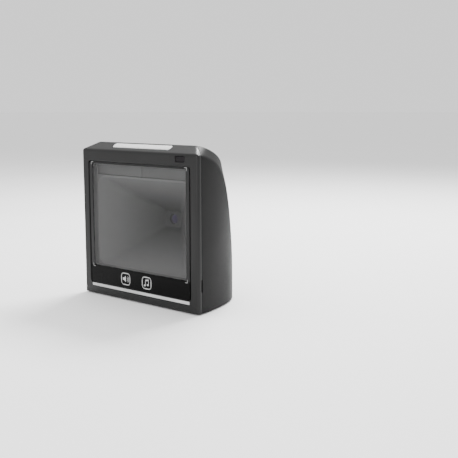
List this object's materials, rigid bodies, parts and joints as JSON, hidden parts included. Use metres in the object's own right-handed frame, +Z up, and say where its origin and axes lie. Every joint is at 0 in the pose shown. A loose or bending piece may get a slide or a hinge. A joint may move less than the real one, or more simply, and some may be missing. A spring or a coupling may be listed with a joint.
{
  "type": "presentation barcode scanner",
  "caption": "Compact upright presentation scanner: flush window with touch band, brow status light, rounded leaning rear shell and snap-off cable cover.",
  "frame": {"origin": "centre of the bounding box at its base, on the surface the feet stand on", "axes": "+Z up; the scan window faces -Y; +X is to the right of a person facing the window"},
  "size_m": [0.145, 0.0786, 0.1424],
  "materials": {
    "housing_plastic": "fine moulded grain",
    "black_plastic": "fine moulded grain",
    "shroud_plastic": "fine moulded grain",
    "rubber": "matte",
    "window_glass": "polished",
    "clear_plastic": "frosted translucent",
    "sill_plastic": "satin with fine ribs",
    "board": "solder mask",
    "copper": "satin",
    "steel": "satin",
    "aluminium": "satin",
    "paper_cone": "pressed paper"
  },
  "bodies": {
    "casing": {"antenna_coil": "copper", "aux_port": "steel", "base_plate": "black_plastic", "base_screw_1": "steel", "base_screw_2": "steel", "base_screw_3": "steel", "base_screw_4": "steel", "board_screw_1": "steel", "board_screw_2": "steel", "board_screw_3": "steel", "board_screw_4": "steel", "camera_bracket": "aluminium", "front_bezel": "housing_plastic", "heat_spreader": "aluminium", "host_port": "black_plastic", "image_sensor": "black_plastic", "io_board": "board", "lens_barrel": "black_plastic", "lens_element": "window_glass", "lens_holder": "black_plastic", "light_board_left": "board", "light_board_right": "board", "light_lens_left": "clear_plastic", "light_lens_right": "clear_plastic", "main_board": "board", "optical_shroud": "shroud_plastic", "power_jack": "black_plastic", "presence_sensor": "black_plastic", "processor_shield": "steel", "rear_housing": "housing_plastic", "rubber_foot_1": "rubber", "rubber_foot_2": "rubber", "rubber_foot_3": "rubber", "rubber_foot_4": "rubber", "scan_window": "window_glass", "sensor_board": "board", "sensor_window": "black_plastic", "sill_trim": "sill_plastic", "speaker_basket": "steel", "speaker_magnet": "steel", "status_board": "board", "status_led_left": "clear_plastic", "status_led_middle": "clear_plastic", "status_led_right": "clear_plastic", "status_lens": "clear_plastic", "tone_touch_pad": "copper", "touch_board": "black_plastic", "volume_touch_pad": "copper", "window_gasket": "rubber"},
    "cover": {"cable_cover": "housing_plastic"},
    "cone": {"speaker_cone": "paper_cone"}
  },
  "joints": [
    {"name": "cover_slide", "type": "slide", "parent": "casing", "child": "cover", "axis": [0, 1, 0], "range_m": [0, 0.03]},
    {"name": "cone_travel", "type": "slide", "parent": "casing", "child": "cone", "axis": [0, 0, 1], "range_m": [-0.0004, 0.0004], "stiffness_N_per_m": 400}
  ]
}
